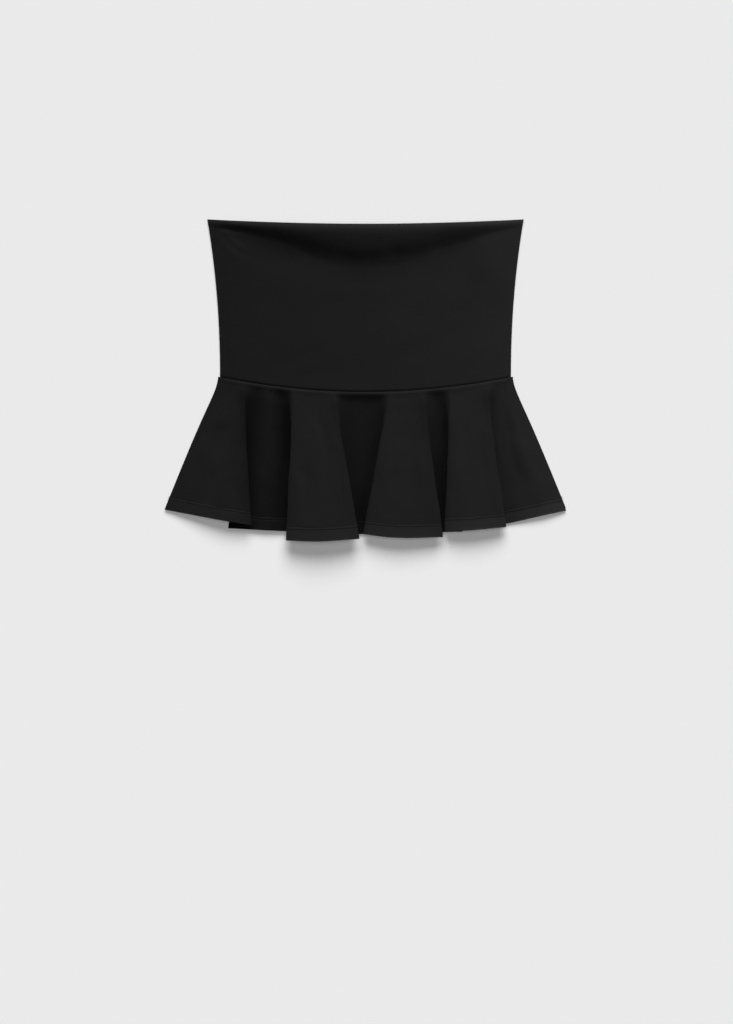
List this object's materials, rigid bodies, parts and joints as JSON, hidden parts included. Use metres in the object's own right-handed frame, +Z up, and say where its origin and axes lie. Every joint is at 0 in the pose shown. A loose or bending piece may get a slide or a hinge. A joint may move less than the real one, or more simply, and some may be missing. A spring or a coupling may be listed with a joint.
{
  "type": "strapless peplum top",
  "caption": "Strapless stretch-knit top lying flat on its back: a straight tube bodice with a flared, fluted peplum sewn on at the waist.",
  "frame": {"origin": "on the surface that the top lies on, under the middle of the bodice back, 14 mm above the waist seam", "axes": "+X across the body to the right as seen from above, +Y from the hem to the neck edge, +Z up from the surface"},
  "size_m": [0.4621, 0.3703, 0.0281],
  "materials": {
    "stretch_knit": "matte",
    "sewing_thread": "matte"
  },
  "bodies": {
    "root": {"bodice_front": "stretch_knit", "bodice_back": "stretch_knit", "peplum_front": "stretch_knit", "peplum_back": "stretch_knit"}
  },
  "joints": []
}
